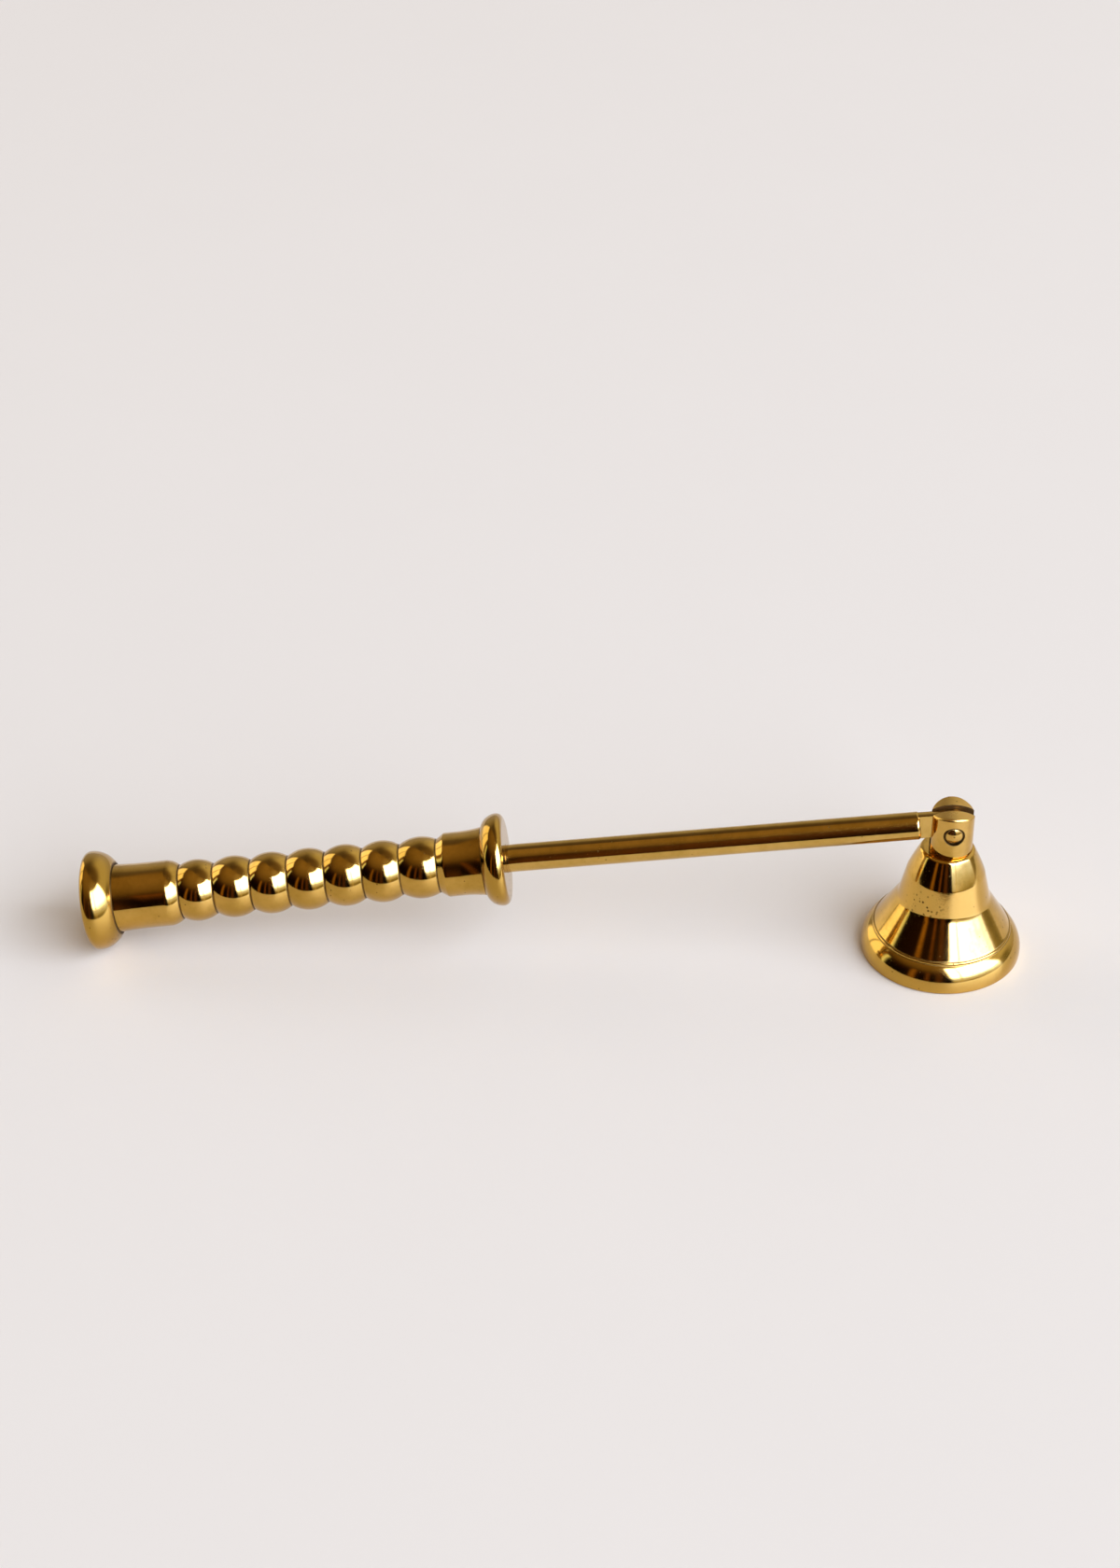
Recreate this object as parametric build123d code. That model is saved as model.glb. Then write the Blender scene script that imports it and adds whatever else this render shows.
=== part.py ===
from build123d import *
import os
from math import acos, asin, atan2, cos, degrees, hypot, radians, sin, sqrt

# Candle snuffer in turned brass: a bell under a fork knob, riveted to a rod with a bead handle.
# Millimetres, +Z up. It stands on the bell's rim and on the pommel's edge, on the plane z = 0.
# The handle points to -X, the bell is at +X and the hinge turns about Y.
# The origin is on that plane, under the middle of the whole length.

# Bell
rim_radius = 22.0
rim_edge = 0.6
rim_band = 2.2
rim_height = 7.45
rim_top_radius = 18.87
rim_wall = 2.2
thin_bead_height = 0.85
thin_bead_step = 0.35
thin_bead_bulge = 0.3
waist_height = 18.7
waist_bend = 5.0
neck_slope = 13.0
crease_height = 26.2
crease_radius = 10.65
dome_bulge = 0.14
crown_height = 33.8
crown_radius = 7.2
crown_round = 1.2
crown_thickness = 3.0
bell_wall = 1.8

# Fork knob, standing on the bell's crown a little nearer to the far side from the handle
knob_radius = 5.85
knob_offset = 0.75
knob_base_chamfer = 0.25
fork_base = 1.0
pivot_rise = 7.28
ear_rise = 5.65
top_arch = 11.0
top_edge_round = 0.7
spigot_radius = 2.3
spigot_end = 0.8
spigot_chamfer = 0.4

# Nut and washer that hold the knob, inside the bell
washer_radius = 4.9
washer_thickness = 0.8
nut_flats = 7.0
nut_thickness = 2.4
nut_chamfer = 0.35

# Hinge rivet
rivet_radius = 1.5
head_radius = 2.4
head_edge = 0.55
head_dome = 0.75
head_recess_gap = 0.45
head_sink = 0.45

# Rod
rod_radius = 3.8
eye_drop = 0.74
tongue_thickness = 2.3
tongue_show = 2.85
tongue_skin = 0.08
shoulder_round = 0.8
rod_reach = 118.05
bend_angle = 1.46
bend_radius = 80.0
bend_to_collar = 3.0
tail_radius = 2.5
tail_tip_chamfer = 0.5
socket_depth = 1.5

# Front collar of the handle
collar_radius = 12.65
collar_edge = 1.9
collar_length = 6.15
collar_lip = 0.15

# Grip
front_end_radius = 9.4
front_radius = 8.78
front_flare = 6.6
front_straight = 3.8
front_chamfer = 2.15
bead_radius = 8.48
groove_radius = 6.8
end_groove_radius = 7.3
bead_count = 7
bead_pitch = 10.31
last_bead_width = 9.45
rear_radius = 9.03
rear_round = 3.45
rear_round_bulge = 0.37
rear_straight = 6.0
rear_flare = 8.5
rear_end_radius = 9.35
seat_depth = 1.2

# Pommel
pommel_radius = 13.62
pommel_edge = 2.0
pommel_back = 6.2
pommel_lip = 0.4
thread_length = 4.5

# Clearances between pieces, on a radius or on one side
eye_clearance = 0.05
rivet_clearance = 0.02
tongue_clearance = 0.2
thread_clearance = 0.05
seat_clearance = 0.08
bore_clearance = 0.3
tip_clearance = 0.8


# Stations along the handle's axis, from the collar's face towards the pommel
grip_start = collar_length - seat_depth
straight_start = collar_length + front_flare
chamfer_start = straight_start + front_straight
first_groove = chamfer_start + front_chamfer
last_groove = first_groove + (bead_count - 1) * bead_pitch + last_bead_width
rear_start = last_groove + rear_round
rear_flare_start = rear_start + rear_straight
seam = rear_flare_start + rear_flare
grip_end = seam + seat_depth
pommel_widest = seam + pommel_back
handle_length = pommel_widest + pommel_edge
tail_end = grip_end + thread_length

# Heights of the hinge
pivot_height = crown_height + pivot_rise
slot_floor = crown_height + fork_base
ceiling_height = crown_height - crown_thickness
slot_width = tongue_thickness + 2 * tongue_clearance
shoulder_distance = knob_radius + tongue_show

# The pommel's rounded edge touches the plane z = 0, which sets how far the rod and handle slope
edge_ring = pommel_radius - pommel_edge
bend = radians(bend_angle)
bend_to_edge = bend_to_collar + pommel_widest
along = rod_reach + bend_to_edge * cos(bend) - edge_ring * sin(bend)
across = bend_to_edge * sin(bend) + edge_ring * cos(bend) - eye_drop
rod_slope = asin((pivot_height - pommel_edge) / hypot(along, across)) - atan2(across, along)
handle_slope = rod_slope + bend

# The whole length, from the pommel's end to the bell's rim, is centred on x = 0
reach_to_edge = rod_reach * cos(rod_slope) + bend_to_edge * cos(handle_slope) + eye_drop * sin(rod_slope)
pommel_reach = reach_to_edge + edge_ring * sin(handle_slope) + pommel_edge
bell_x = (pommel_reach - knob_offset - rim_radius) / 2
hinge_x = bell_x + knob_offset

bell_place = Location((bell_x, 0, 0))
knob_place = Location((hinge_x, 0, 0))
hinge_place = Location((hinge_x, 0, pivot_height))
rod_place = hinge_place * Rotation(0, 180 - degrees(rod_slope), 0) * Location((0, 0, -eye_drop))
handle_place = rod_place * Location((rod_reach, 0, 0)) * Rotation(0, -bend_angle, 0)
handle_place = handle_place * Location((bend_to_collar, 0, 0))


def polyline(*points):
    """Straight edges through the points, in order."""
    return [Line(a, b) for a, b in zip(points, points[1:])]


def turned_upright(edges):
    """A solid turned about Z, from an outline of radius and height."""
    return revolve(Plane.XZ * make_face(edges), axis=Axis.Z)


def turned_along(edges):
    """A solid turned about X, from an outline of station and radius."""
    return revolve(make_face(edges), axis=Axis.X)


def cylinder_across(radius, low, high):
    """A cylinder along Y between two values of y."""
    ends = Plane(origin=(0, low, 0), x_dir=(1, 0, 0), z_dir=(0, 1, 0))
    return ends * Cylinder(radius, high - low, align=(Align.CENTER, Align.CENTER, Align.MIN))


def wall_directions(slope):
    """Upward direction of an outer wall that leans in by a slope, and the direction into the wall."""
    upwards = Vector(-sin(slope), cos(slope))
    return upwards, Vector(-upwards.Y, upwards.X)


def make_bell():
    """Cup with a round rim moulding, a thin bead, a straight flare, a neck and a dome up to a soft crown."""
    rim_top = Vector(rim_top_radius, rim_height)
    flare_start = rim_top + Vector(-thin_bead_step, thin_bead_height)
    bead_out = Vector(thin_bead_height, thin_bead_step).normalized()
    bead_top = (rim_top + flare_start) * 0.5 + bead_out * thin_bead_bulge
    crease = Vector(crease_radius, crease_height)
    crown = Vector(crown_radius, crown_height)

    # The neck runs straight down from the crease, then a round bend leads into the straight flare
    neck_up, neck_in = wall_directions(radians(neck_slope))
    waist = crease - neck_up * ((crease_height - waist_height) / neck_up.Y)
    bend_centre = waist - neck_in * waist_bend
    drop = flare_start - bend_centre
    flare_slope = atan2(drop.Y, drop.X) + acos(-waist_bend / drop.length)
    flare_up, flare_in = wall_directions(flare_slope)
    flare_end = bend_centre + flare_in * waist_bend

    # The dome bulges a little from the straight line between the crease and the crown
    dome_slope = atan2(crease_radius - crown_radius, crown_height - crease_height)
    dome_up, dome_in = wall_directions(dome_slope)
    dome_middle = (crease + crown) * 0.5 - dome_in * dome_bulge

    # The inside follows the outside at the wall's thickness
    inner_waist = waist + neck_in * bell_wall
    inner_crease = crease + neck_in * bell_wall
    inner_flare_end = bend_centre + flare_in * (waist_bend + bell_wall)
    skirt = inner_flare_end - flare_up * ((inner_flare_end.Y - rim_height) / flare_up.Y)
    inner_dome = crown + dome_in * bell_wall
    ceiling_edge = inner_dome - dome_up * ((inner_dome.Y - ceiling_height) / dome_up.Y)
    mouth = Vector(rim_radius - rim_wall, 0)

    edges = polyline((0, ceiling_height), (0, crown_height), crown)
    edges += [ThreePointArc(crown, dome_middle, crease), Line(crease, waist)]
    edges += [TangentArc(waist, flare_end, tangent=neck_up * -1), Line(flare_end, flare_start)]
    edges += [ThreePointArc(flare_start, bead_top, rim_top)]
    edges += [TangentArc((rim_radius, rim_band), rim_top, tangent=(0, 1))]
    edges += [Line((rim_radius, rim_band), (rim_radius, rim_edge))]
    edges += [TangentArc((rim_radius, rim_edge), (rim_radius - rim_edge, 0), tangent=(0, -1))]
    edges += polyline((rim_radius - rim_edge, 0), mouth, skirt, inner_flare_end)
    edges += [TangentArc(inner_waist, inner_flare_end, tangent=neck_up * -1)]
    edges += polyline(inner_waist, inner_crease, ceiling_edge, (0, ceiling_height))
    bell = turned_upright(edges)
    bell = bell_place * fillet(bell.edges().group_by(Axis.Z)[-1], crown_round)
    hole = Cylinder(spigot_radius + thread_clearance, 2 * crown_height)
    return bell - knob_place * hole


def make_fork_knob():
    """Round knob, slotted for the rod's tongue, with an arched top and a spigot through the crown."""
    knob_top = pivot_height + ear_rise
    spigot_tip = ceiling_height - washer_thickness - nut_thickness - spigot_end

    edges = polyline(
        (0, knob_top),
        (0, spigot_tip),
        (spigot_radius - spigot_chamfer, spigot_tip),
        (spigot_radius, spigot_tip + spigot_chamfer),
        (spigot_radius, crown_height),
        (knob_radius - knob_base_chamfer, crown_height),
        (knob_radius, crown_height + knob_base_chamfer),
        (knob_radius, knob_top),
        (0, knob_top),
    )
    knob = turned_upright(edges)

    # The top is arched about the hinge's direction, and its edge is eased
    arch = cylinder_across(top_arch, -2 * knob_radius, 2 * knob_radius)
    knob &= Location((0, 0, knob_top - top_arch)) * arch
    top_face = knob.faces().sort_by(Axis.Z)[-1]
    knob = fillet(top_face.edges(), top_edge_round)

    slot_height = knob_top - slot_floor
    slot = Box(2 * knob_radius, slot_width, slot_height, align=(Align.CENTER, Align.CENTER, Align.MIN))
    knob -= Location((0, 0, slot_floor)) * slot
    knob -= Location((0, 0, pivot_height)) * cylinder_across(
        rivet_radius + rivet_clearance, -knob_radius, knob_radius
    )
    for side in (-1, 1):
        low, high = sorted((side * head_seat(), side * knob_radius))
        knob -= Location((0, 0, pivot_height)) * cylinder_across(head_radius + head_recess_gap, low, high)
    return knob_place * knob


def head_seat():
    """Distance from the middle of the knob to the flat that a rivet head sits on."""
    return sqrt(knob_radius**2 - (head_radius + head_recess_gap) ** 2) - head_sink


def make_crown_washer():
    """Flat washer under the crown."""
    low = ceiling_height - washer_thickness
    hole = spigot_radius + thread_clearance
    edges = polyline(
        (hole, low),
        (washer_radius, low),
        (washer_radius, ceiling_height),
        (hole, ceiling_height),
        (hole, low),
    )
    return knob_place * turned_upright(edges)


def make_crown_nut():
    """Six-sided nut on the spigot, with its corners turned off."""
    high = ceiling_height - washer_thickness
    low = high - nut_thickness
    hole = spigot_radius + thread_clearance
    corner = nut_flats / sqrt(3)
    prism = Location((0, 0, low)) * extrude(RegularPolygon(corner, 6), nut_thickness)
    edges = polyline(
        (hole, low),
        (corner - nut_chamfer, low),
        (corner, low + nut_chamfer),
        (corner, high - nut_chamfer),
        (corner - nut_chamfer, high),
        (hole, high),
        (hole, low),
    )
    return knob_place * (prism & turned_upright(edges))


def make_hinge_rivet():
    """Pin through both ears, with a low domed head in the recess at each side."""
    seat = head_seat()
    edges = [Line((-seat - head_edge - head_dome, 0), (seat + head_edge + head_dome, 0))]
    edges += [Line((-seat, rivet_radius), (seat, rivet_radius))]
    for side in (-1, 1):
        rim = (side * (seat + head_edge), head_radius)
        edges += polyline((side * seat, rivet_radius), (side * seat, head_radius), rim)
        top = (side * (seat + head_edge + head_dome), 0)
        edges += [TangentArc(top, rim, tangent=(0, 1))]
    rivet = turned_along(edges)
    return hinge_place * Rotation(0, 0, 90) * rivet


def make_rod():
    """Round rod: a flat tongue with an eye at the bell, a slight bend and a thin tail in the handle."""
    bend_point = Vector(rod_reach, 0, 0)
    handle_direction = Vector(cos(bend), 0, sin(bend))
    collar_seat = bend_point + handle_direction * (bend_to_collar + socket_depth)
    path = FilletPolyline((shoulder_distance, 0, 0), bend_point, collar_seat, radius=bend_radius)
    rod = sweep(Plane.YZ.offset(shoulder_distance) * Circle(rod_radius), path=path)
    rod = fillet(rod.edges().group_by(Axis.X)[0], shoulder_round)

    edges = polyline(
        (socket_depth, 0),
        (socket_depth, tail_radius),
        (tail_end - tail_tip_chamfer, tail_radius),
        (tail_end, tail_radius - tail_tip_chamfer),
        (tail_end, 0),
        (socket_depth, 0),
    )
    tail = turned_along(edges)
    tail_place = Location(bend_point) * Rotation(0, -bend_angle, 0) * Location((bend_to_collar, 0, 0))
    rod += tail_place * tail

    # The tongue is a slice of a slightly thinner bar; the eye is a little below its middle
    overshoot = 2 * rod_radius
    root = shoulder_distance + 2 * shoulder_round
    bar_radius = rod_radius - tongue_skin
    bar = polyline((-overshoot, 0), (-overshoot, bar_radius), (root, bar_radius), (root, 0), (-overshoot, 0))
    tongue = turned_along(bar) & Box(4 * root, tongue_thickness, 2 * overshoot)
    end_block = Box(
        overshoot,
        2 * overshoot,
        2 * overshoot,
        align=(Align.MAX, Align.CENTER, Align.CENTER),
    )
    eye = Location((0, 0, eye_drop))
    tongue -= end_block - eye * cylinder_across(bar_radius + eye_drop, -overshoot, overshoot)
    tongue -= eye * cylinder_across(rivet_radius + eye_clearance, -rod_radius, rod_radius)
    rod += tongue
    return rod_place * rod


def make_front_collar():
    """Flange at the front of the handle: flat face, rounded edge and a round back to the grip."""
    socket = rod_radius + seat_clearance
    tail_hole = tail_radius + bore_clearance
    seat_radius = front_end_radius + seat_clearance
    widest = (collar_edge, collar_radius)
    back = (collar_length, seat_radius + collar_lip)

    edges = polyline(
        (grip_start, tail_hole),
        (socket_depth, tail_hole),
        (socket_depth, socket),
        (0, socket),
        (0, collar_radius - collar_edge),
    )
    edges += [TangentArc(widest, (0, collar_radius - collar_edge), tangent=(-1, 0))]
    edges += [TangentArc(widest, back, tangent=(1, 0))]
    edges += polyline(
        back,
        (collar_length, seat_radius),
        (grip_start, seat_radius),
        (grip_start, tail_hole),
    )
    return handle_place * turned_along(edges)


def make_grip():
    """Turned grip: a flared neck, a row of beads and a rear barrel, bored for the rod's tail."""
    bore = tail_radius + bore_clearance
    edges = polyline(
        (grip_end, bore),
        (grip_start, bore),
        (grip_start, front_end_radius),
        (collar_length, front_end_radius),
    )
    neck = (straight_start, front_radius)
    edges += [TangentArc(neck, (collar_length, front_end_radius), tangent=(-1, 0))]
    edges += polyline(neck, (chamfer_start, front_radius), (first_groove, end_groove_radius))

    start = first_groove
    for number in range(bead_count):
        width = bead_pitch if number < bead_count - 1 else last_bead_width
        top = (start + width / 2, bead_radius)
        front_groove = groove_radius if number else end_groove_radius
        back_groove = groove_radius if number < bead_count - 1 else end_groove_radius
        edges += [ThreePointArc((start, front_groove), top, (start + width, back_groove))]
        start += width

    round_middle = (last_groove + rear_round / 2, (end_groove_radius + rear_radius) / 2 + rear_round_bulge)
    edges += [ThreePointArc((last_groove, end_groove_radius), round_middle, (rear_start, rear_radius))]
    edges += polyline((rear_start, rear_radius), (rear_flare_start, rear_radius))
    edges += [TangentArc((rear_flare_start, rear_radius), (seam, rear_end_radius), tangent=(1, 0))]
    edges += polyline((seam, rear_end_radius), (grip_end, rear_end_radius), (grip_end, bore))
    return handle_place * turned_along(edges)


def make_pommel():
    """End knob with a round back, a rounded edge and a flat end, threaded for the rod's tail."""
    seat_radius = rear_end_radius + seat_clearance
    thread = tail_radius + thread_clearance
    widest = (pommel_widest, pommel_radius)
    back = (seam, seat_radius + pommel_lip)
    hole_end = tail_end + tip_clearance

    edges = [TangentArc(widest, back, tangent=(-1, 0))]
    edges += [TangentArc(widest, (handle_length, pommel_radius - pommel_edge), tangent=(1, 0))]
    edges += polyline(
        (handle_length, pommel_radius - pommel_edge),
        (handle_length, 0),
        (hole_end, 0),
        (hole_end, thread),
        (grip_end, thread),
        (grip_end, seat_radius),
        (seam, seat_radius),
        back,
    )
    return handle_place * turned_along(edges)


pieces = {
    "bell": make_bell(),
    "fork_knob": make_fork_knob(),
    "crown_washer": make_crown_washer(),
    "crown_nut": make_crown_nut(),
    "hinge_rivet": make_hinge_rivet(),
    "rod": make_rod(),
    "front_collar": make_front_collar(),
    "grip": make_grip(),
    "pommel": make_pommel(),
}

os.makedirs("parts", exist_ok=True)
for name, piece in pieces.items():
    piece.label = name
    export_step(piece, f"parts/{name}.step")

print(f"bell at x {bell_x:.3f}, hinge at x {hinge_x:.3f}, z {pivot_height:.3f}")
print(f"rod slope {degrees(rod_slope):.3f}, handle slope {degrees(handle_slope):.3f} degrees")
print(f"pommel end to bell rim {2 * (bell_x + rim_radius):.2f} mm")
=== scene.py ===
from math import atan, atan2, cos, pi, radians, sin, tan

import bmesh
import bpy
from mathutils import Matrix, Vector


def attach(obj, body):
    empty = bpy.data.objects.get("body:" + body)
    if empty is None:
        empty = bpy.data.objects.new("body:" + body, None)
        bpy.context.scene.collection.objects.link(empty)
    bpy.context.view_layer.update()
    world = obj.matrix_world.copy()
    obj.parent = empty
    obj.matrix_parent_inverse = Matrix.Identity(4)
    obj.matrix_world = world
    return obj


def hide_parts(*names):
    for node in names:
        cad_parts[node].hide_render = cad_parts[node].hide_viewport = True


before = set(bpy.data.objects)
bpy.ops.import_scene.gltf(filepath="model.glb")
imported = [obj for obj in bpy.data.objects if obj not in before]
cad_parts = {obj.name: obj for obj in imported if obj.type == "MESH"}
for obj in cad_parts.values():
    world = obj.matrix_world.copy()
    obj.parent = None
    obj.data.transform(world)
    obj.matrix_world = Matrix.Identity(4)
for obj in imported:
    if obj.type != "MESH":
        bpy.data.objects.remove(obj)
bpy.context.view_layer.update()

# Places on the snuffer at rest, in millimetres: the bell's axis, the hinge, the rod and the handle.
BELL_X = 107.179
HINGE_X = 107.929
HINGE_Z = 41.08
EYE_DROP = 0.74
ROD_SLOPE = radians(6.184)
HANDLE_SLOPE = radians(7.644)
ROD_REACH = 118.05
BEND_TO_COLLAR = 3.0

ROD_AXIS = Vector((-cos(ROD_SLOPE), 0, -sin(ROD_SLOPE)))
ROD_UP = Vector((-sin(ROD_SLOPE), 0, cos(ROD_SLOPE)))
HANDLE_AXIS = Vector((-cos(HANDLE_SLOPE), 0, -sin(HANDLE_SLOPE)))
HINGE = Vector((HINGE_X, 0, HINGE_Z))
COLLAR_FACE = HINGE + ROD_UP * EYE_DROP + ROD_AXIS * ROD_REACH + HANDLE_AXIS * BEND_TO_COLLAR

# Stations on the handle, from the collar's face, and radii, in millimetres: the collar's back, the grip's
# ends and bore, the beads and their grooves, the rear seam and the pommel's flat end.
COLLAR_LENGTH = 6.15
GRIP_FRONT = 4.95
GRIP_BACK = 109.16
GRIP_BORE = 2.8
GROOVES = [18.7 + 10.31 * bead for bead in range(7)] + [90.01]
GROOVE_RADIUS = 6.8
END_GROOVE_RADIUS = 7.3
BEAD_RADIUS = 8.48
SEAM = 107.96
POMMEL_END = 116.16

# Heights on the bell and the knob, in millimetres: both edges of the thin bead, the crown's underside and
# top, and the knob's top with the radius of its arch.
THIN_BEAD_EDGES = (7.45, 8.35)
CROWN_UNDER = 30.8
CROWN_TOP = 33.8
KNOB_TOP = 46.73
TOP_ARCH = 11.0

MM_PER_METRE = 1000.0
DEGREES_PER_RADIAN = 57.2958
# A ramp by angle runs from the level of the table to straight up.
RAMP_SPAN = 90.0


class Socket:
    """A shader socket: sums on it add Math nodes, and node() adds any other node."""

    def __init__(self, tree, link=None):
        self.tree = tree
        self.link = link

    def node(self, kind, settings=None, output=0, **inputs):
        """Adds a node, with its settings set first and then the values or links of its sockets."""
        made = self.tree.nodes.new(kind)
        for name, value in (settings or {}).items():
            if name == "stops":
                set_stops(made.color_ramp, value)
            else:
                setattr(made, name, value)
        for name, value in inputs.items():
            key = name.replace("_", " ")
            target = made.inputs[int(key[1:])] if key[1:].isdigit() and key[0] == "i" else made.inputs[key]
            if isinstance(value, Socket):
                self.tree.links.new(value.link, target)
            else:
                target.default_value = value
        return Socket(self.tree, made.outputs[output])

    def math(self, operation, *values):
        sockets = {f"i{i}": v for i, v in enumerate(values)}
        return self.node("ShaderNodeMath", {"operation": operation}, **sockets)

    def __add__(self, other):
        return self.math("ADD", self, other)

    def __sub__(self, other):
        return self.math("SUBTRACT", self, other)

    def __mul__(self, other):
        return self.math("MULTIPLY", self, other)

    def __truediv__(self, other):
        return self.math("DIVIDE", self, other)

    def __rsub__(self, other):
        return self.math("SUBTRACT", other, self)

    def __rtruediv__(self, other):
        return self.math("DIVIDE", other, self)

    __radd__ = __add__
    __rmul__ = __mul__

    def size(self):
        return self.math("ABSOLUTE", self)

    def most(self, other):
        return self.math("MAXIMUM", self, other)

    def rise(self, low, high):
        """0 below low, 1 above high and smooth between; it falls where high is below low."""
        steps = {"interpolation_type": "SMOOTHSTEP"}
        if low <= high:
            return self.node("ShaderNodeMapRange", steps, Value=self, From_Min=low, From_Max=high)
        return 1 - self.node("ShaderNodeMapRange", steps, Value=self, From_Min=high, From_Max=low)

    def near(self, place, width):
        """1 at a place on a scale, falling to 0 at the width to each side."""
        return (self - place).size().rise(width, 0)

    def between(self, colour_a, colour_b):
        """A colour that goes from a to b as this value goes from 0 to 1."""
        mix = {"data_type": "RGBA", "clamp_factor": True}
        return self.node("ShaderNodeMix", mix, 2, i0=self, i6=colour_a, i7=colour_b)

    def vector(self, operation, *values, output=0):
        sockets = {f"i{i}": v for i, v in enumerate(values)}
        return self.node("ShaderNodeVectorMath", {"operation": operation}, output, **sockets)

    def parts(self):
        """The x, y and z of a vector."""
        split = self.node("ShaderNodeSeparateXYZ", Vector=self).link.node
        return [Socket(self.tree, part) for part in split.outputs]

    def noise(self, scale, detail=2.0, roughness=0.5):
        """Noise in 0 to 1, over this place."""
        return self.node("ShaderNodeTexNoise", Vector=self, Scale=scale, Detail=detail, Roughness=roughness)

    def dots(self, scale, radius, share):
        """Round spots over this place, in a share of the cells of a pattern; the radius is in cells."""
        cell = self.node("ShaderNodeTexVoronoi", Vector=self, Scale=scale)
        pick = Socket(self.tree, cell.link.node.outputs["Color"]).parts()[0]
        return cell.rise(radius, radius * 0.5) * pick.rise(1 - share, 1.02 - share)

    def ramp(self, *stops):
        """A colour by this value in degrees, from pairs of an angle and a colour."""
        places = [(angle / RAMP_SPAN, rgb(*colour)) for angle, colour in stops]
        share = self / RAMP_SPAN
        return self.node("ShaderNodeValToRGB", {"stops": places}, Fac=share)


def set_stops(ramp, stops):
    while len(ramp.elements) < len(stops):
        ramp.elements.new(1.0)
    for element, (position, colour) in zip(ramp.elements, stops):
        element.position = position
        element.color = colour


def rgb(red, green, blue):
    return (red, green, blue, 1.0)


def new_material(name):
    material = bpy.data.materials.new(name)
    material.use_nodes = True
    tree = material.node_tree
    tree.nodes.clear()
    return material, Socket(tree)


def finish_material(start, shader):
    output = start.tree.nodes.new("ShaderNodeOutputMaterial")
    start.tree.links.new(shader.link, output.inputs["Surface"])


def place_in_mm(start):
    """The place on the piece, in millimetres, which moves with the piece."""
    place = start.node("ShaderNodeTexCoord", output=3)
    return place.vector("MULTIPLY", place, (MM_PER_METRE, MM_PER_METRE, MM_PER_METRE))


def along(place, origin, axis):
    """Distance along an axis from a point, in millimetres."""
    offset = place.vector("SUBTRACT", place, tuple(origin))
    return place.vector("DOT_PRODUCT", offset, tuple(axis), output=1)


def stretched(place, turn, squeeze):
    """The place turned and squeezed, so that a noise on it makes long streaks."""
    return place.node("ShaderNodeMapping", Vector=place, Rotation=turn, Scale=squeeze)


# A dark colour for pits, dirt and painted shade.
GRIME_AND_SHADE = rgb(0.050, 0.024, 0.007)

# The fine relief of the brass: its depth in metres and the share of it that shows.
RELIEF_DEPTH = 0.00002
RELIEF_STRENGTH = 0.25


def brass(
    name,
    light,
    deep,
    polish=0.07,
    dirt_and_shade=None,
    pits=None,
    satin=None,
    rings=None,
    soft_edge=None,
    aged=None,
    bright=None,
):
    """Polished brass with tarnish, scratches, pits, dirt and painted shade; functions of a place say where
    each change lies.
    """
    material, start = new_material(name)
    place = place_in_mm(start)

    blotch = place.noise(0.085, 4.0, 0.6).rise(0.38, 0.66)
    cloud = place.noise(0.55, 3.0, 0.6)
    tarnish = blotch * 0.7 + cloud.rise(0.42, 0.70) * 0.3
    if aged is not None:
        tarnish = tarnish.most(aged(place))
    if bright is not None:
        tarnish = tarnish * (1 - bright(place))

    spots = place.dots(0.55, 0.13, 0.22)
    if pits is not None:
        spots = spots.most(place.dots(0.95, 0.40, 0.62) * pits(place))

    scratch_a = stretched(place, (0.3, 0.2, 0.5), (0.35, 9.0, 9.0)).noise(1.0, 1.0).rise(0.66, 0.72)
    scratch_b = stretched(place, (0.9, -0.4, 2.0), (0.30, 8.0, 8.0)).noise(1.0, 1.0).rise(0.67, 0.73)
    scratches = scratch_a.most(scratch_b)

    colour = tarnish.between(light, deep)
    colour = (spots * 0.9).between(colour, GRIME_AND_SHADE)
    rough = tarnish * 0.04 + polish + scratches * 0.05 + spots * 0.35
    relief = spots * -1.0 - scratches * 0.12 + cloud * 0.9

    if rings is not None:
        station = along(place, *rings)
        turning = {"noise_dimensions": "1D"}
        relief = relief + station.node("ShaderNodeTexNoise", turning, W=station * 5.0, Detail=3.0) * 0.15
    if satin is not None:
        dull = satin(place)
        rough = rough + dull * 0.20
        relief = relief + place.noise(3.5, 3.0, 0.7) * dull * 2.0
    # Where asked, dirt and painted shade darken the colour towards the dark colour.
    if dirt_and_shade is not None:
        dirt_and_shade_mask = dirt_and_shade(place) * place.noise(0.8, 3.0).rise(0.05, 0.42)
        colour = (dirt_and_shade_mask * 0.9).between(colour, GRIME_AND_SHADE)
        rough = rough + dirt_and_shade_mask * 0.40

    easing = {}
    if soft_edge is not None:
        easing["Normal"] = start.node("ShaderNodeBevel", {"samples": 4}, Radius=soft_edge)
    bump = relief.node(
        "ShaderNodeBump",
        Height=relief,
        Strength=RELIEF_STRENGTH,
        Distance=RELIEF_DEPTH,
        **easing,
    )

    shader = start.node(
        "ShaderNodeBsdfPrincipled",
        Base_Color=colour,
        Metallic=1.0,
        Roughness=rough,
        Normal=bump,
    )
    finish_material(start, shader)
    return material


def bell_height(place):
    return along(place, (BELL_X, 0, 0), (0, 0, 1))


def bell_turn(place):
    """Angle about the bell's axis, in degrees: 0 at the front and 90 towards +X."""
    x = along(place, (BELL_X, 0, 0), (1, 0, 0))
    y = along(place, (BELL_X, 0, 0), (0, 1, 0))
    return x.math("ARCTAN2", x, y * -1.0) * DEGREES_PER_RADIAN


def hinge_distance(place):
    """Distance from the hinge's axis."""
    offset = place.vector("SUBTRACT", place, tuple(HINGE))
    flat = place.vector("MULTIPLY", offset, (1.0, 0.0, 1.0))
    return place.vector("LENGTH", flat, output=1)


def hinge_across(place):
    return along(place, tuple(HINGE), (0, 1, 0)).size()


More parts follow.
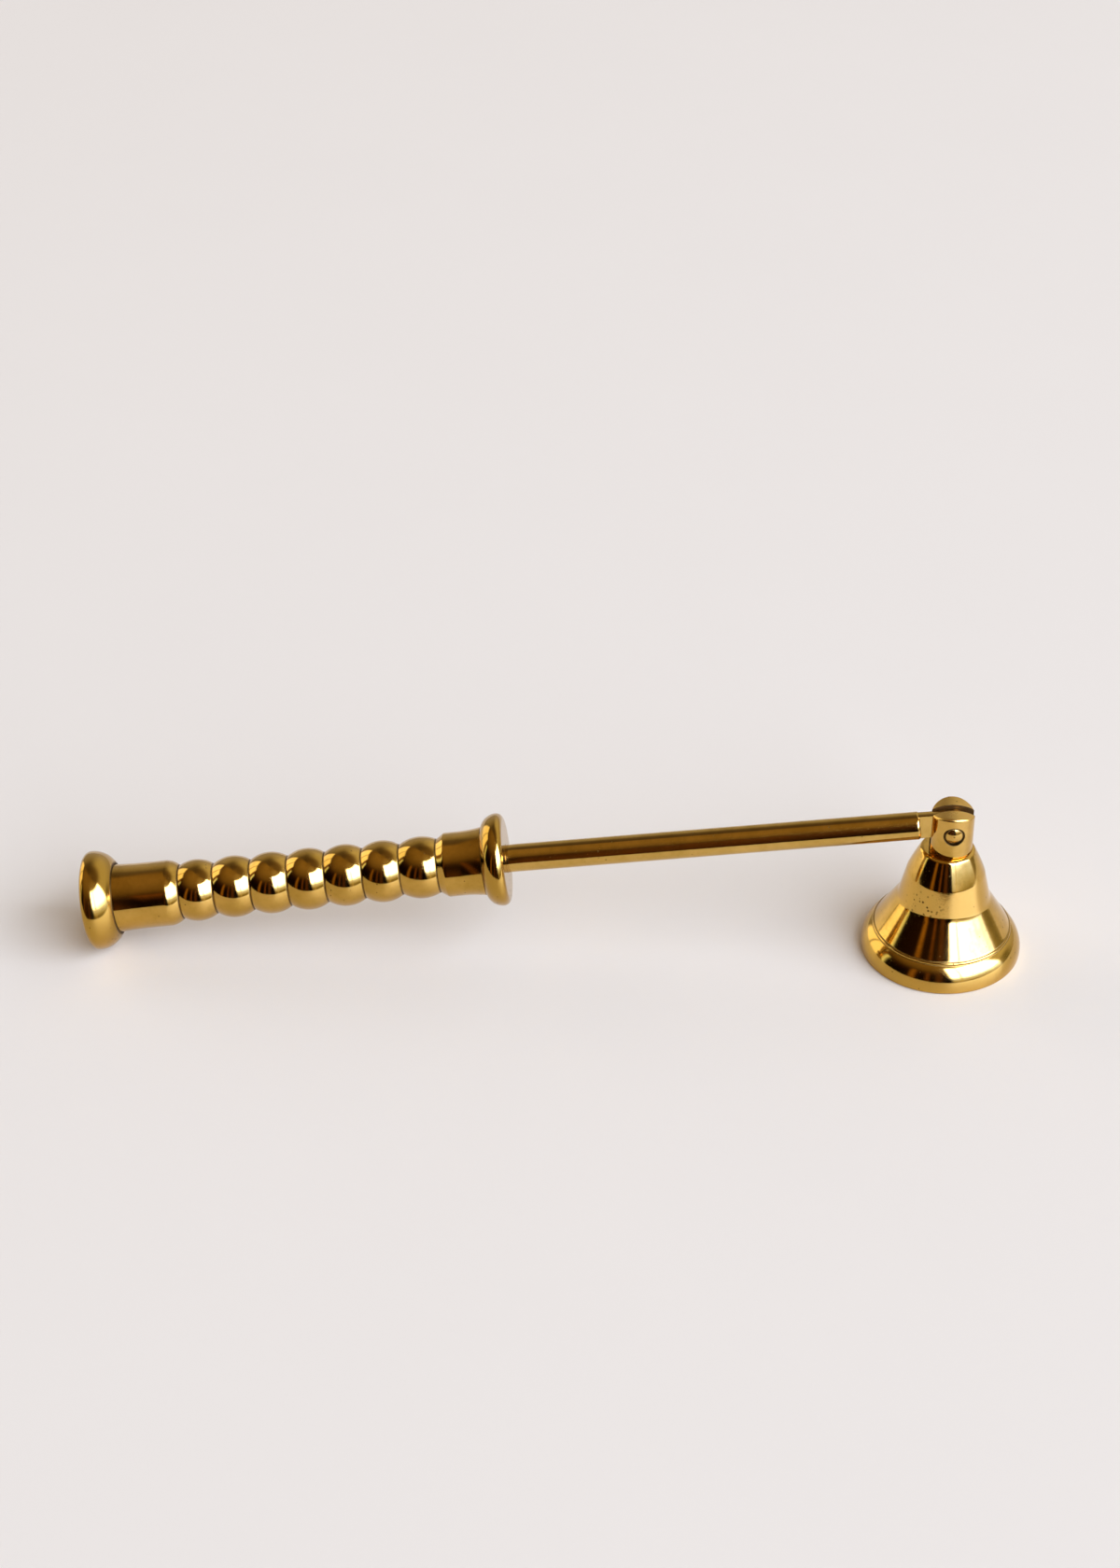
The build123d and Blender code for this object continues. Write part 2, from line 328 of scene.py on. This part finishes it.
def bell_dirt(place):
    """Dirt along both edges of the thin bead above the rim."""
    height = bell_height(place)
    foot, top = THIN_BEAD_EDGES
    return height.near(foot, 0.25).most(height.near(top, 0.25)) * 0.65


def bell_pits(place):
    """Pits in a patch at the front left of the neck."""
    return bell_height(place).near(20.8, 6.5) * bell_turn(place).near(-36.0, 42.0)


def handle_dirt(place):
    """Dirt in the grooves between the beads and at the seams."""
    station = along(place, COLLAR_FACE, HANDLE_AXIS)
    dirt_and_shade = station.near(COLLAR_LENGTH, 0.28).most(station.near(SEAM, 0.28))
    for groove in GROOVES:
        dirt_and_shade = dirt_and_shade.most(station.near(groove, 0.45))
    return dirt_and_shade


def handle_pits(place):
    """Rough spots on the underside."""
    below = along(place, COLLAR_FACE, (0, 0, 1)) - along(place, COLLAR_FACE, HANDLE_AXIS) * HANDLE_AXIS.z
    return below.rise(-4.5, -7.0) * place.noise(0.06, 2.0).rise(0.45, 0.60)


def knob_base_line_and_shade(place):
    """A dark line at the knob's base, and painted shade in its slot and in the recesses around the rivet's
    heads.
    """
    base = bell_height(place).rise(34.0, 33.85)
    slot = hinge_across(place).rise(1.50, 1.36)
    recess = hinge_distance(place).rise(3.0, 2.82) * hinge_across(place).rise(3.0, 4.0)
    return base.most(slot).most(recess)


def knob_satin(place):
    """The arched top, which is left dull."""
    across = along(place, HINGE, (1, 0, 0))
    crest = bell_height(place) + across * across / (2 * TOP_ARCH)
    return crest.rise(KNOB_TOP - 0.6, KNOB_TOP - 0.25)


def bell_aged(place):
    """The rim's moulding is duller than the rest."""
    return bell_height(place).rise(9.0, 7.5) * 0.65


def bell_bright(place):
    """The neck is rubbed bright."""
    return bell_height(place).rise(16.5, 18.5) * bell_height(place).rise(27.0, 25.5) * 0.85


def handle_aged(place):
    """The collar and the pommel are duller than the grip."""
    station = along(place, COLLAR_FACE, HANDLE_AXIS)
    collar = station.rise(COLLAR_LENGTH + 0.1, COLLAR_LENGTH - 0.1)
    pommel = station.rise(SEAM - 0.1, SEAM + 0.1)
    return collar.most(pommel) * 0.9


def rivet_edge_shade(place):
    """Painted shade at the edge of the rivet's heads, where they sit in their recesses."""
    return hinge_distance(place).rise(2.05, 2.35)


# The axes that the lathe's fine rings run around, and the radius of a softened edge, in metres.
handle_rings = (COLLAR_FACE, HANDLE_AXIS)
upright_rings = ((BELL_X, 0, 0), (0, 0, 1))
SOFT_EDGE = 0.00015

bell_brass = brass(
    "bell_brass",
    rgb(0.63, 0.376, 0.078),
    rgb(0.45, 0.262, 0.042),
    dirt_and_shade=bell_dirt,
    pits=bell_pits,
    rings=upright_rings,
    aged=bell_aged,
    bright=bell_bright,
)
knob_brass = brass(
    "knob_brass",
    rgb(0.62, 0.372, 0.085),
    rgb(0.50, 0.292, 0.052),
    dirt_and_shade=knob_base_line_and_shade,
    satin=knob_satin,
    rings=upright_rings,
    soft_edge=SOFT_EDGE,
)
rivet_brass = brass(
    "rivet_brass",
    rgb(0.62, 0.372, 0.085),
    rgb(0.50, 0.292, 0.052),
    polish=0.12,
    dirt_and_shade=rivet_edge_shade,
    soft_edge=SOFT_EDGE,
)
rod_brass = brass("rod_brass", rgb(0.58, 0.360, 0.085), rgb(0.47, 0.282, 0.052), soft_edge=SOFT_EDGE)
handle_brass = brass(
    "handle_brass",
    rgb(0.55, 0.322, 0.062),
    rgb(0.43, 0.245, 0.037),
    dirt_and_shade=handle_dirt,
    pits=handle_pits,
    rings=handle_rings,
    aged=handle_aged,
)
inside_brass = brass("inside_brass", rgb(0.42, 0.26, 0.09), rgb(0.30, 0.17, 0.05), polish=0.3)


def dress(node, material):
    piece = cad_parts[node]
    piece.data.materials.clear()
    piece.data.materials.append(material)


dress("fork_knob", knob_brass)
dress("hinge_rivet", rivet_brass)
dress("rod", rod_brass)
for node in ("crown_washer", "crown_nut"):
    dress(node, inside_brass)


# The turned pieces are made again with many fine facets and eased corners. An outline is a closed row of
# points, each a station along the axis and a radius, in millimetres.
TURN_SIDES = 160
LINE_STEP = 0.7
CORNER_REACH = 0.22
CORNER_STEPS = 4
CORNER_ANGLE = radians(6)
SHARP_ANGLE = radians(50)


def line(start, end):
    """Points from the start up to, but not at, the end."""
    start, end = Vector(start), Vector(end)
    count = max(1, round((end - start).length / LINE_STEP))
    return [start.lerp(end, step / count) for step in range(count)]


def arc(start, end, tangent, count):
    """Points of an arc that leaves the start along a tangent, up to, but not at, the end."""
    start, end, tangent = Vector(start), Vector(end), Vector(tangent).normalized()
    chord = end - start
    left = Vector((-tangent.y, tangent.x))
    sweep = 2 * atan2(chord.dot(left), chord.dot(tangent))
    centre = start + left * (chord.length / (2 * sin(sweep / 2)))
    spoke = start - centre
    points = []
    for step in range(count):
        turn = sweep * step / count
        turned_x = spoke.x * cos(turn) - spoke.y * sin(turn)
        turned_y = spoke.x * sin(turn) + spoke.y * cos(turn)
        points.append(centre + Vector((turned_x, turned_y)))
    return points


def arc_into(start, end, tangent, count):
    """Points of an arc that reaches the end along a tangent."""
    chord = (Vector(end) - Vector(start)).normalized()
    tangent = Vector(tangent).normalized()
    return arc(start, end, chord * (2 * chord.dot(tangent)) - tangent, count)


def bulged(start, end, bulge, count):
    """Points of an arc whose middle stands off its chord, to the left where the bulge is positive."""
    chord = Vector(end) - Vector(start)
    lean = 2 * atan(2 * bulge / chord.length)
    tangent = Vector((chord.x * cos(lean) - chord.y * sin(lean), chord.x * sin(lean) + chord.y * cos(lean)))
    return arc(start, end, tangent, count)


def through(start, middle, end, count):
    """Points of an arc from the start through a middle point, up to, but not at, the end."""
    first, whole = Vector(middle) - Vector(start), Vector(end) - Vector(start)
    spoke_x = whole.y * first.length_squared - first.y * whole.length_squared
    spoke_y = first.x * whole.length_squared - whole.x * first.length_squared
    tangent = Vector((spoke_y, -spoke_x))
    if tangent.dot(first) < 0:
        tangent.negate()
    return arc(start, end, tangent, count)


def corners(*points):
    return [Vector(point) for point in points]


def eased(outline):
    """The outline with its corners rounded off by small curves."""
    points = []
    for index, corner in enumerate(outline):
        enter = corner - outline[index - 1]
        leave = outline[(index + 1) % len(outline)] - corner
        if corner.y == 0 or enter.angle(leave) < CORNER_ANGLE:
            points.append(corner)
            continue
        reach = min(CORNER_REACH, 0.4 * enter.length, 0.4 * leave.length)
        first = corner - enter.normalized() * reach
        last = corner + leave.normalized() * reach
        for step in range(CORNER_STEPS + 1):
            share = step / CORNER_STEPS
            points.append(first.lerp(corner, share).lerp(corner.lerp(last, share), share))
    return points


def turned(node, outline, origin, axis, body, material):
    """A piece turned about an axis from an outline, which stands for a CAD node."""
    axis = Vector(axis)
    side = Vector((0, 1, 0))
    third = axis.cross(side)
    points, rings = [], []
    for station, radius in eased(outline):
        sides = TURN_SIDES if radius > 0 else 1
        rings.append([len(points) + turn for turn in range(sides)])
        for turn in range(sides):
            angle = 2 * pi * turn / TURN_SIDES
            out = side * cos(angle) + third * sin(angle)
            points.append((Vector(origin) + axis * station + out * radius) / MM_PER_METRE)

    faces = []
    for index, ring in enumerate(rings):
        after = rings[(index + 1) % len(rings)]
        if len(ring) == 1 and len(after) == 1:
            continue
        for turn in range(TURN_SIDES):
            there = (turn + 1) % TURN_SIDES
            if len(ring) == 1:
                faces.append((ring[0], after[turn], after[there]))
            elif len(after) == 1:
                faces.append((ring[turn], after[0], ring[there]))
            else:
                faces.append((ring[turn], after[turn], after[there], ring[there]))

    mesh = bpy.data.meshes.new(node + "_turned")
    mesh.from_pydata(points, [], faces)
    work = bmesh.new()
    work.from_mesh(mesh)
    bmesh.ops.recalc_face_normals(work, faces=work.faces)
    work.to_mesh(mesh)
    work.free()
    mesh.shade_smooth()
    mesh.set_sharp_from_angle(angle=SHARP_ANGLE)
    mesh.materials.append(material)
    piece = bpy.data.objects.new(node + "_turned", mesh)
    bpy.context.scene.collection.objects.link(piece)
    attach(piece, body)
    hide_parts(node)


def bell_outline():
    """The bell from its crown down the outside to the rim, and back up the inside; stations are heights."""
    crown, dome, crease, waist = (CROWN_TOP, 6.482), (33.166, 7.54), (26.2, 10.65), (18.7, 12.382)
    flare_top, flare_foot, rim_top = (17.189, 13.005), (8.30, 18.52), (7.45, 18.87)
    band_top, band_foot, foot, mouth = (1.3, 22.0), (0.6, 22.0), (0.0, 21.4), (0.0, 19.8)
    inner_flare, inner_waist, inner_crease = (16.24, 11.475), (18.295, 10.628), (25.795, 8.896)
    down_neck = Vector(waist) - Vector(crease)

    hole = 3.15
    outline = corners((CROWN_UNDER, hole)) + line((CROWN_TOP, hole), crown) + arc(crown, dome, (0, 1), 10)
    outline += bulged(dome, crease, -0.117, 16) + line(crease, waist) + arc(waist, flare_top, down_neck, 8)
    outline += line(flare_top, flare_foot) + bulged(flare_foot, rim_top, -0.3, 26)
    outline += arc_into(rim_top, band_top, (-1, 0), 24) + line(band_top, band_foot)
    outline += arc(band_foot, foot, (-1, 0), 16) + corners(foot, mouth, (7.45, 16.929))
    outline += arc_into(inner_flare, inner_waist, -down_neck, 8)
    return outline + corners(inner_waist, inner_crease, (CROWN_UNDER, 6.585))


def collar_outline():
    """The collar from its bore around its front face and its edge to the recess for the grip."""
    widest, back = (1.9, 12.65), (COLLAR_LENGTH, 9.63)
    outline = corners((GRIP_FRONT, GRIP_BORE), (1.5, GRIP_BORE), (1.5, 3.88))
    outline += line((0.0, 3.88), (0.0, 10.75))
    outline += arc_into((0.0, 10.75), widest, (1, 0), 18) + arc(widest, back, (1, 0), 20)
    return outline + corners(back, (COLLAR_LENGTH, 9.48), (GRIP_FRONT, 9.48))


def grip_outline():
    """The grip from its bore over its neck, its beads and its rear barrel."""
    neck, chamfer, rear, rear_flare = (12.75, 8.78), (16.55, 8.78), (93.46, 9.03), (99.46, 9.03)
    outline = corners((GRIP_BACK, GRIP_BORE), (GRIP_FRONT, GRIP_BORE), (GRIP_FRONT, 9.4))
    outline += arc_into((COLLAR_LENGTH, 9.4), neck, (1, 0), 10) + line(neck, chamfer)
    outline += line(chamfer, (GROOVES[0], END_GROOVE_RADIUS))
    depths = [END_GROOVE_RADIUS] + [GROOVE_RADIUS] * (len(GROOVES) - 2) + [END_GROOVE_RADIUS]
    grooves = list(zip(GROOVES, depths))
    for groove, after in zip(grooves, grooves[1:]):
        outline += through(groove, ((groove[0] + after[0]) / 2, BEAD_RADIUS), after, 20)
    outline += through(grooves[-1], (91.735, 8.535), rear, 8) + line(rear, rear_flare)
    return outline + arc(rear_flare, (SEAM, 9.35), (1, 0), 10) + corners((SEAM, 9.35), (GRIP_BACK, 9.35))


def pommel_outline():
    """The pommel from its seam over its edge to its flat end, and the hole for the rod's tail."""
    back, widest, end = (SEAM, 9.83), (114.16, 13.62), (POMMEL_END, 11.62)
    hole_end, hole = 114.46, 2.55
    outline = arc_into(back, widest, (1, 0), 20) + arc(widest, end, (1, 0), 18) + line(end, (POMMEL_END, 0.0))
    outline += corners((POMMEL_END, 0.0), (hole_end, 0.0), (hole_end, hole), (GRIP_BACK, hole))
    return outline + corners((GRIP_BACK, 9.43), (SEAM, 9.43))


turned("bell", bell_outline(), (BELL_X, 0, 0), (0, 0, 1), "bell_body", bell_brass)
for node, outline in (
    ("front_collar", collar_outline()),
    ("grip", grip_outline()),
    ("pommel", pommel_outline()),
):
    turned(node, outline, COLLAR_FACE, HANDLE_AXIS, "handle_body", handle_brass)


# The set: a pale table in a dim studio, with a window at the right, a smaller one at the left, a dull
# ceiling and a pale wall behind. The camera does not see the studio; metal sees it by direction.
TABLE_FRONT = -0.14
TABLE_RIGHT = 0.36
TABLE_REACH = 5.0
SHELL_RADIUS = 12.0
LAMP_DISTANCE = 9.0

BACKDROP_COLOUR = rgb(0.80, 0.77, 0.755)


def stage_mesh(name, points, faces, material):
    mesh = bpy.data.meshes.new(name)
    mesh.from_pydata(points, [], faces)
    mesh.materials.append(material)
    made = bpy.data.objects.new(name, mesh)
    bpy.context.scene.collection.objects.link(made)
    return made


def floor_sheet(name, left, right, front, back, material):
    points = [(left, front, 0.0), (right, front, 0.0), (right, back, 0.0), (left, back, 0.0)]
    return stage_mesh(name, points, [(0, 1, 2, 3)], material)


# The floor is matt to the eye, with a little sheen where the brass reflects it.
floor_pale, start = new_material("floor_pale")
place = start.node("ShaderNodeTexCoord", output=3)
mottle = place.noise(9.0, 3.0, 0.6)
floor_tone = mottle.between(rgb(0.812, 0.777, 0.762), rgb(0.828, 0.793, 0.778))
matt = start.node("ShaderNodeBsdfPrincipled", Base_Color=floor_tone, Roughness=0.60, Specular_IOR_Level=0.0)
sheen = start.node("ShaderNodeBsdfPrincipled", Base_Color=floor_tone, Roughness=0.40, Specular_IOR_Level=0.19)
in_the_brass = start.node("ShaderNodeLightPath", output=3)
shader = start.node("ShaderNodeMixShader", i0=in_the_brass, i1=matt, i2=sheen)
finish_material(start, shader)

floor_sheet("floor", -TABLE_REACH, TABLE_RIGHT, TABLE_FRONT, TABLE_REACH, floor_pale)
for name, left, front, back in (
    ("floor_apron", -TABLE_REACH, -TABLE_REACH, TABLE_FRONT),
    ("floor_side", TABLE_RIGHT, TABLE_FRONT, TABLE_REACH),
):
    apron = floor_sheet(name, left, TABLE_REACH, front, back, floor_pale)
    apron.visible_glossy = False


def studio_tone(rise, turn, right):
    """The studio's walls and ceiling: dark in front, dull above, pale behind and at the right."""
    front = rise.ramp(
        (0, (0.006, 0.0025, 0.001)),
        (15, (0.008, 0.0033, 0.0013)),
        (25, (0.022, 0.009, 0.0035)),
        (33, (0.060, 0.030, 0.012)),
        (40, (0.145, 0.085, 0.032)),
        (47, (0.225, 0.142, 0.055)),
        (56, (0.290, 0.190, 0.078)),
        (66, (0.350, 0.232, 0.098)),
        (74, (0.380, 0.252, 0.108)),
        (90, (0.330, 0.220, 0.095)),
    )
    by_window = turn.near(35.0, 50.0) * rise.rise(44.0, 56.0) * rise.rise(88.0, 66.0)
    front = by_window.between(front, rgb(0.52, 0.42, 0.29))
    rear_left = rise.ramp(
        (0, (0.540, 0.520, 0.490)),
        (20, (0.520, 0.490, 0.460)),
        (32, (0.440, 0.400, 0.360)),
        (40, (0.330, 0.290, 0.250)),
        (47, (0.190, 0.155, 0.125)),
        (55, (0.160, 0.122, 0.090)),
        (64, (0.130, 0.094, 0.062)),
        (74, (0.140, 0.098, 0.062)),
        (82, (0.240, 0.165, 0.090)),
        (90, (0.330, 0.220, 0.095)),
    )
    rear_right = rise.ramp(
        (0, (0.620, 0.580, 0.500)),
        (12, (0.750, 0.720, 0.660)),
        (24, (0.900, 0.880, 0.840)),
        (44, (0.900, 0.880, 0.840)),
        (52, (0.680, 0.620, 0.550)),
        (59, (0.360, 0.290, 0.210)),
        (66, (0.240, 0.170, 0.100)),
        (80, (0.220, 0.150, 0.080)),
        (90, (0.330, 0.220, 0.095)),
    )
    rear = right.rise(-0.15, 0.35).between(rear_left, rear_right)
    behind = turn.rise(66.0, 80.0).most(turn.rise(-132.0, -154.0))
    tone = behind.between(front, rear)
    shade = turn.near(101.0, 20.0) * rise.rise(26.0, 12.0)
    return shade.between(tone, rgb(0.30, 0.27, 0.17))


def studio_windows(tone, rise, turn, way):
    """The studio with its windows, their woodwork and a pale sill, as metal reflects them."""
    low_wall = rise.rise(40.0, 30.0)
    post = turn.near(-41.5, 7.5) * 0.95 + turn.near(-95.0, 6.0) * 0.9
    tone = (post * low_wall).between(tone, rgb(0.42, 0.20, 0.035))
    thin_post = turn.near(-20.0, 5.0) * 0.55 + turn.near(-4.0, 8.0) * 0.35
    tone = (thin_post * low_wall).between(tone, rgb(0.34, 0.13, 0.03))

    left = turn.rise(-145.0, -139.0) * turn.rise(-98.0, -103.0) * rise.rise(43.0, 37.0)
    left_pane = rise.rise(-6.0, 6.0).between(rgb(0.95, 0.85, 0.70), rgb(2.3, 2.15, 1.9))
    tone = (left * (1 - turn.near(-121.0, 2.5) * 0.8)).between(tone, left_pane)
    strip = turn.near(-88.0, 6.0) * rise.rise(34.0, 28.0) * rise.rise(-10.0, -4.0)
    tone = strip.between(tone, rgb(1.5, 1.7, 1.6))

    lean = turn + (rise - 25.0) * 0.15
    across = lean.rise(9.0, 14.5) * lean.rise(88.0, 82.0)
    rough_edge = way.noise(7.0, 3.0, 0.6) - 0.5
    dip = (turn - 52.0).most(0.0) * 0.2
    daylight = (rise + rough_edge * 6.0 + dip).ramp(
        (0, (0.45, 0.40, 0.25)),
        (3, (0.85, 0.85, 0.90)),
        (7, (1.20, 1.40, 2.4)),
        (11, (1.6, 2.1, 4.6)),
        (15, (3.0, 3.9, 9.5)),
        (19, (8.0, 9.5, 18.0)),
        (24, (13.0, 15.0, 28.0)),
    )
    streaks = way.node("ShaderNodeTexNoise", {"noise_dimensions": "1D"}, W=turn * 0.22, Detail=2.0)
    curtain = streaks.rise(0.58, 0.42) * rise.near(10.0, 9.0) * 0.6
    daylight = curtain.most(turn.near(26.5, 3.0) * 0.9).between(daylight, rgb(1.0, 0.9, 0.7))
    bright = across * rise.rise(60.0, 54.0) * rise.rise(-20.0, -10.0)
    return bright.between(tone, daylight)


def studio_glow(name, windows):
    """Light of the studio's shell by direction, from the front at turn 0 and from the table at rise 0."""
    material, start = new_material(name)
    way = start.node("ShaderNodeTexCoord", output=3)
    way = way.vector("NORMALIZE", way)
    right, back, up = way.parts()
    rise = up.math("ARCSINE", up) * DEGREES_PER_RADIAN
    turn = up.math("ARCTAN2", right, back * -1.0) * DEGREES_PER_RADIAN
    tone = studio_tone(rise, turn, right)
    if windows:
        tone = studio_windows(tone, rise, turn, way)
    finish_material(start, start.node("ShaderNodeEmission", Color=tone, Strength=1.0))
    return material


def add_shell(name, radius, material):
    rings, sides = 24, 48
    points, faces = [], []
    for ring in range(rings + 1):
        high = radians(-90 + 180 * ring / rings)
        for side in range(sides):
            turn = radians(360 * side / sides)
            level = (cos(high) * cos(turn), cos(high) * sin(turn), sin(high))
            points.append(tuple(radius * part for part in level))
    for ring in range(rings):
        for side in range(sides):
            after = (side + 1) % sides
            low, high = ring * sides, (ring + 1) * sides
            faces.append((low + side, high + side, high + after, low + after))
    shell = stage_mesh(name, points, faces, material)
    shell.visible_camera = False
    return shell


def add_lamp(name, turn, rise, wide_angle, high_angle, radiance, colour):
    """A soft lamp that faces the snuffer from a window's place; metal does not show it."""
    turn, rise = radians(turn), radians(rise)
    towards = Vector((sin(turn) * cos(rise), -cos(turn) * cos(rise), sin(rise)))
    lamp = bpy.data.lights.new(name, "AREA")
    lamp.shape = "RECTANGLE"
    lamp.size = 2 * LAMP_DISTANCE * tan(radians(wide_angle / 2))
    lamp.size_y = 2 * LAMP_DISTANCE * tan(radians(high_angle / 2))
    lamp.color = colour
    lamp.energy = radiance * pi * lamp.size * lamp.size_y
    made = bpy.data.objects.new(name, lamp)
    bpy.context.scene.collection.objects.link(made)
    made.location = towards * LAMP_DISTANCE
    made.rotation_euler = towards.to_track_quat("Z", "Y").to_euler()
    made.visible_camera = False
    made.visible_glossy = False


fill = add_shell("studio_fill", SHELL_RADIUS, studio_glow("studio_fill", False))
fill.visible_glossy = False
view = add_shell("studio_view", SHELL_RADIUS - 0.1, studio_glow("studio_view", True))
view.visible_diffuse = False
view.visible_shadow = False

add_lamp(
    "window_right",
    turn=49,
    rise=32,
    wide_angle=66,
    high_angle=50,
    radiance=5.0,
    colour=(0.79, 0.875, 0.985),
)
add_lamp(
    "window_left",
    turn=-120,
    rise=22,
    wide_angle=40,
    high_angle=44,
    radiance=1.8,
    colour=(1.0, 0.87, 0.73),
)

world = bpy.data.worlds.new("studio")
bpy.context.scene.world = world
world.use_nodes = True
background = world.node_tree.nodes["Background"]
background.inputs["Color"].default_value = BACKDROP_COLOUR
background.inputs["Strength"].default_value = 1.0

# The camera: 75 mm on 36 mm of the picture's long side, looking down at the middle of the snuffer.
lens = bpy.data.cameras.new("camera")
lens.lens = 75.0
lens.sensor_width = 36.0
camera = bpy.data.objects.new("camera", lens)
bpy.context.scene.collection.objects.link(camera)
camera.location = (0.010169, -0.71455, 0.55931)
camera.rotation_euler = (radians(54.721), 0.0, radians(0.656))
bpy.context.scene.camera = camera

bpy.context.scene.view_settings.view_transform = "Standard"
